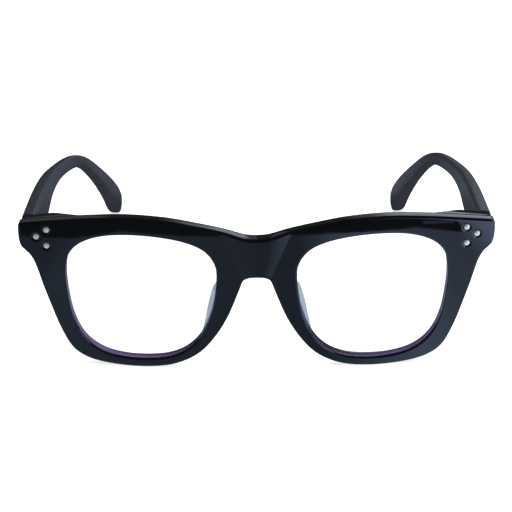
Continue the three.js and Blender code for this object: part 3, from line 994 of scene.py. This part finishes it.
def temple_rings(side):
    """The sections of a temple, from its butt to its tip."""
    length = TEMPLE_STATIONS[-1][0]
    near_butt = [0, 0.02, 0.06, 0.15, 0.5]
    stops = near_butt + list(np.arange(1.5, length - 1.5, 1.1))
    stops += [length - left for left in (1.4, 1.1, 0.8, 0.5, 0.3, 0.14, 0.04, 0)]
    rings = []
    for back in stops:
        outer, top, height, thickness = temple_section(back)
        inset = end_inset(back, length, BUTT_ROUNDING, TIP_ROUNDING)
        low_x, high_x = outer - thickness + inset, outer - inset
        low_z, high_z = top - height + inset, top - inset
        room = min(high_z - low_z, high_x - low_x)
        tip = max(back - TIP_START, 0) / (length - TIP_START)
        inner = TEMPLE_INNER_RADIUS + (TIP_INNER_RADIUS - TEMPLE_INNER_RADIUS) * tip
        outer = TEMPLE_INNER_RADIUS + (TIP_OUTER_RADIUS - TEMPLE_INNER_RADIUS) * tip
        radii = (min(inner, room * INNER_SHARE), min(outer, room * OUTER_SHARE))
        radii += (min(TEMPLE_TOP_RADIUS, room * TOP_SHARE),) * 2
        outline = box_outline(low_x, high_x, low_z, high_z)
        rings.append([(side * x, TEMPLE_BUTT_Y + back, z)
                      for x, z in rounded_corners(outline, radii, 8)])
    return rings


TEMPLE_INNER_X = TEMPLE_STATIONS[0][1] - TEMPLE_STATIONS[0][4]
TEMPLE_LEAF = {
    "y0": TEMPLE_BUTT_Y + 0.8, "y1": TEMPLE_BUTT_Y + 9.2, "z0": 39.7, "z1": 44.3, "point": 2}
OPEN_END = 4             # times the margin, which takes the leaf's pocket out through the butt


def temple_leaf_outline(margin):
    """The side view of a temple leaf, with its pointed rear end, grown by a margin."""
    leaf = TEMPLE_LEAF
    y0, y1 = leaf["y0"] - OPEN_END * margin, leaf["y1"] + margin
    z0, z1 = leaf["z0"] - margin, leaf["z1"] + margin
    shoulder = y1 - leaf["point"]
    return [(y0, z0), (shoulder, z0), (y1, (z0 + z1) / 2), (shoulder, z1), (y0, z1)]


def wire_line(side, start, end):
    """The middle line of a temple between two distances behind its butt."""
    points = []
    for back in np.linspace(start, end, 90):
        outer, top, height, thickness = temple_section(back)
        points.append((side * (outer - thickness / 2), TEMPLE_BUTT_Y + back, top - height / 2))
    mesh = bpy.data.meshes.new("line")
    mesh.from_pydata(points, [(i, i + 1) for i in range(len(points) - 1)], [])
    return placed("line", mesh)


WIRE = wire_tree()


def temple(word, side):
    """One temple, with a pocket for its hinge leaf and a channel for its core wire."""
    body = loft(f"temple_arm_{word}", temple_rings(side))
    x0, x1 = own_side(TEMPLE_INNER_X - 1, TEMPLE_INNER_X + LEAF_THICKNESS + GAP, side)
    pocket = slab("pocket", temple_leaf_outline(GAP), x0, x1, "x")
    channel = grown(wire_line(side, *CHANNEL_RANGE), WIRE, SATIN_BLACK, radius=WIRE_RADIUS + GAP)
    combined(body, [pocket, channel], "DIFFERENCE")
    return finish(body, f"temple_{word}_arm", SATIN_BLACK, [f"temple_{word}"], 38)


def core_wire(word, side):
    wire = grown(wire_line(side, *WIRE_RANGE), WIRE, HINGE_STEEL)
    wire.name = f"core_wire_{word}"
    return finish(wire, f"temple_{word}_arm", HINGE_STEEL,
                  [f"temple_core_wire_{word}"], 50)


# ---- hinges ----
def knuckle(side, z0, z1, neck_outline):
    """A barrel about the hinge axis with a neck that joins it to its leaf."""
    body = barrel("knuckle", BARREL_RADIUS, z0, z1, side)
    return combined(body, [slab("neck", neck_outline, z0, z1, "z")], "UNION")


def front_leaf(word, side):
    """A plate let into the hinge block, with an upper and a lower knuckle."""
    plate, tongue = front_leaf_seat(side, 0)
    combined(plate, [tongue], "UNION")
    inner = BARREL_HALF_HEIGHT - FRONT_KNUCKLE_HEIGHT
    x0, x1 = own_side(HINGE_X - FRONT_NECK_HALF_WIDTH, HINGE_X + FRONT_NECK_HALF_WIDTH, side)
    neck = box_outline(x0, x1, BLOCK_BACK_Y - FRONT_NECK_SINK, HINGE_Y)
    for z0, z1 in ((HINGE_Z + inner, HINGE_Z + BARREL_HALF_HEIGHT),
                   (HINGE_Z - BARREL_HALF_HEIGHT, HINGE_Z - inner)):
        combined(plate, [knuckle(side, z0, z1, neck)], "UNION")
    bore = barrel("bore", BORE_RADIUS, HINGE_Z - BORE_REACH, HINGE_Z + BORE_REACH, side)
    combined(plate, [bore], "DIFFERENCE")
    plate.name = f"front_leaf_{word}"
    return finish(plate, "front", HINGE_STEEL,
                  [f"front_hinge_leaf_{word}"], 30, LEAF_BEVEL)


def temple_leaf(word, side):
    """A plate let into the temple, with one knuckle between the front leaf's two."""
    x0, x1 = own_side(TEMPLE_INNER_X, TEMPLE_INNER_X + LEAF_THICKNESS, side)
    plate = slab(f"temple_leaf_{word}", temple_leaf_outline(0), x0, x1, "x")
    z0, z1 = HINGE_Z - TEMPLE_KNUCKLE_HEIGHT / 2, HINGE_Z + TEMPLE_KNUCKLE_HEIGHT / 2
    x0, x1 = own_side(HINGE_X, TEMPLE_INNER_X + TEMPLE_NECK_SINK, side)
    neck = box_outline(x0, x1, HINGE_Y - TEMPLE_NECK_FRONT, HINGE_Y + BARREL_RADIUS)
    combined(plate, [knuckle(side, z0, z1, neck)], "UNION")
    combined(plate, [barrel("bore", BORE_RADIUS, z0 - 1, z1 + 1, side)], "DIFFERENCE")
    return finish(plate, f"temple_{word}_arm", HINGE_STEEL,
                  [f"temple_hinge_leaf_{word}"], 30, LEAF_BEVEL)


def hinge_screw(word, side):
    """A slotted screw that drops in from above and ends flush with the lower knuckle."""
    head = BARREL_HALF_HEIGHT + GAP
    top = head + SCREW_HEAD_HEIGHT
    profile = [(SCREW_RADIUS - SCREW_CHAMFER, -BARREL_HALF_HEIGHT),
               (SCREW_RADIUS, SCREW_CHAMFER - BARREL_HALF_HEIGHT), (SCREW_RADIUS, head),
               (SCREW_HEAD_RADIUS - 0.08, head), (SCREW_HEAD_RADIUS, head + 0.08),
               (SCREW_HEAD_RADIUS, head + 0.24), (SCREW_HEAD_RADIUS * 0.9, head + 0.38),
               (SCREW_HEAD_RADIUS * 0.68, top - 0.04), (SCREW_HEAD_RADIUS * 0.4, top)]
    place = (side * HINGE_X, HINGE_Y, HINGE_Z)
    body = turned(f"hinge_screw_pin_{word}", profile, 40, place)
    x, y = place[:2]
    z = HINGE_Z + top - SLOT_DEPTH
    outline = box_outline(x - SLOT_REACH, x + SLOT_REACH, y - SLOT_HALF_WIDTH, y + SLOT_HALF_WIDTH)
    slot = slab("slot", outline, z, z + 1, "z")
    combined(body, [slot], "DIFFERENCE")
    return finish(body, "front", HINGE_STEEL, [f"hinge_screw_{word}"], 30)


for word, side in SIDES:
    lens(word, side)
    nose_pad(word, side)
    temple(word, side)
    core_wire(word, side)
    front_leaf(word, side)
    temple_leaf(word, side)
    hinge_screw(word, side)


# ---- floor, reflector cards, lights and sky ----
def glow_material(name, build):
    material, tree = blank_material(name)
    surface(tree, build(tree))
    return material


def floor_glow(tree):
    matt = node(tree, "ShaderNodeBsdfDiffuse", {"Color": (0.82, 0.82, 0.82, 1)})
    light = node(tree, "ShaderNodeEmission", {"Color": (1, 1, 1, 1), "Strength": 0.75})
    return node(tree, "ShaderNodeAddShader", {0: matt.outputs[0], 1: light.outputs[0]}).outputs[0]


def card_glow(stops, reach, tint):
    """Light that changes across a card: stops give the strength at places along its reach."""
    def build(tree):
        place = node(tree, "ShaderNodeTexCoord").outputs["Object"]
        x = node(tree, "ShaderNodeSeparateXYZ", {0: place}).outputs["X"]
        across = node(tree, "ShaderNodeMapRange", {
            "Value": x, "From Min": -reach, "From Max": reach}).outputs[0]
        ramp = node(tree, "ShaderNodeValToRGB", {0: across})
        strongest = max(strength for _, strength in stops)
        while len(ramp.color_ramp.elements) < len(stops):
            ramp.color_ramp.elements.new(0.5)
        for element, (x_stop, strength) in zip(ramp.color_ramp.elements, stops):
            element.position = (x_stop / reach + 1) / 2
            element.color = (*(strength / strongest for _ in range(3)), 1)
        strength = maths(tree, "MULTIPLY", ramp.outputs[0], strongest)
        return node(tree, "ShaderNodeEmission", {
            "Color": (*tint, 1), "Strength": strength}).outputs[0]
    return build


def staged_sheet(name, corners, material, mirror_only=False):
    """A flat sheet for the picture only; a mirror-only one is seen in reflections alone."""
    mesh = bpy.data.meshes.new(name)
    mesh.from_pydata(corners, [], [tuple(range(len(corners)))])
    mesh.materials.append(material)
    sheet = placed(name, mesh)
    if mirror_only:
        for kind in ("camera", "diffuse", "transmission", "volume_scatter", "shadow"):
            setattr(sheet, f"visible_{kind}", False)
    sheet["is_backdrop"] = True
    return sheet


def mirror_card(name, corners, stops, reach=0.4, tint=(0.62, 0.74, 1)):
    """A sheet of cool light that shows in reflections alone."""
    glow = glow_material(name.replace("_", " "), card_glow(stops, reach, tint))
    staged_sheet(name, corners, glow, True)


def floor_corners(x0, x1, y0, y1, z):
    return [(x0, y0, z), (x1, y0, z), (x1, y1, z), (x0, y1, z)]


floor_z = cad_low.z
front_y = cad_low.y
card_z = floor_z + 0.0001
floor = staged_sheet("floor", floor_corners(-4, 4, -4, 4, floor_z),
                     glow_material("pale floor", floor_glow))
floor.visible_glossy = False
# Mirror-only cards shape the light on the gloss: one on the floor in front, whose front edge
# sets where the brow turns dark, a thin bar inside that dark band, one between the temples
# for the walls of the openings, one on the floor behind for the temples' inner faces and the
# back of the front, and one high up behind for the top of the front.
CARD_EDGE = [
    (-0.6, -0.15), (-0.2, -0.09), (-0.125, -0.09), (-0.0967, -0.0965), (-0.0741, -0.1098),
    (-0.0405, -0.11), (0, -0.1115), (0.0395, -0.1114), (0.0887, -0.108), (0.1058, -0.0984),
    (0.112, -0.095), (0.112, -0.5), (0.8, -0.5), (0.8, 0.006), (-0.6, 0.006),
]
mirror_card(
    "low_card", [(x, front_y + y, card_z) for x, y in CARD_EDGE],
    [(-0.13, 0.4), (-0.103, 0.46), (-0.092, 0.68), (-0.02, 0.52), (0.01, 0.45), (0.022, 0.43),
     (0.031, 0.75), (0.043, 1.45), (0.057, 1.85), (0.085, 1.1), (0.108, 1.0), (0.125, 2.7),
     (0.3, 2.8)])
BAR = [(0.093, -0.1110), (0.110, -0.1067), (0.110, -0.1093), (0.093, -0.1136)]
mirror_card("bar_card", [(x, front_y + y, card_z) for x, y in BAR], [(0, 0.8), (0.2, 0.8)])
mirror_card("inner_card", floor_corners(-0.06, 0.06, -0.058, 0.005, card_z),
            [(-0.1, 1.2), (0.1, 1.2)])
mirror_card("rear_card", floor_corners(-0.6, 0.6, 0.085, 0.6, card_z), [(-0.1, 0.25), (0.1, 0.6)])
mirror_card(
    "back_card", [(-1.2, 0.9, 0.3), (1.2, 0.9, 0.3), (1.2, 0.9, 0.8), (-1.2, 0.9, 0.8)],
    [(-0.5, 0.2), (-0.21, 0.26), (-0.18, 0.08), (-0.02, 0.08), (0.07, 0.4), (0.14, 1.35),
     (0.3, 1.5)], 0.6, (0.8, 0.88, 1))


def soft_light(name, place, target, width, height, power):
    """A white rectangular light that faces its target."""
    data = bpy.data.lights.new(name, "AREA")
    data.shape = "RECTANGLE"
    data.size, data.size_y = width, height
    data.energy = power
    light = placed(name, data)
    light.location = place
    light.rotation_euler = (Vector(target) - Vector(place)).to_track_quat("-Z", "Y").to_euler()
    return light


soft_light("overhead", (-0.05, 0.1, 0.75), (0, 0, 0), 0.9, 0.9, 4.5).visible_glossy = False
soft_light("right_box", (0.75, -0.35, 0.4), (0, -0.02, 0.03), 0.5, 0.5, 3)

SKY_LIGHT = 0.35
SKY_IN_GLOSS = -0.3      # added for mirror reflections
SKY_IN_VIEW = 0.7        # added where the camera sees it

world = bpy.data.worlds.new("studio")
bpy.context.scene.world = world
world.use_nodes = True
sky = world.node_tree
sky.nodes.clear()
path = node(sky, "ShaderNodeLightPath").outputs
strength = maths(sky, "MULTIPLY_ADD", path["Is Glossy Ray"], SKY_IN_GLOSS, SKY_LIGHT)
strength = maths(sky, "MULTIPLY_ADD", path["Is Camera Ray"], SKY_IN_VIEW, strength)
shade = node(sky, "ShaderNodeBackground", {"Color": (1, 1, 1, 1), "Strength": strength})
node(sky, "ShaderNodeOutputWorld", {"Surface": shade.outputs[0]})

# ---- camera ----
CAMERA_ELEVATION = 22.3
CAMERA_DISTANCE = 0.49
CAMERA_ROLL = 0.42
CAMERA_LENS = 112.64
AIM = Vector((-0.0002, BRIDGE_CENTRE_Y * MM, 0.0382))

camera_data = bpy.data.cameras.new("camera")
camera_data.sensor_width = 36
camera_data.lens = CAMERA_LENS
camera = placed("camera", camera_data)
bpy.context.scene.camera = camera
angle = math.radians(CAMERA_ELEVATION)
back = Vector((0, -math.cos(angle), math.sin(angle)))
camera.location = AIM + back * CAMERA_DISTANCE
turn = (-back).to_track_quat("-Z", "Y")
camera.rotation_euler = (turn.to_matrix() @ Matrix.Rotation(
    math.radians(-CAMERA_ROLL), 3, "Z")).to_euler()
camera_data.clip_start = 0.01
camera_data.clip_end = 50

bpy.context.scene.view_settings.view_transform = "Standard"

# ---- sizes of the whole scene, and the end ----
low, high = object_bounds()
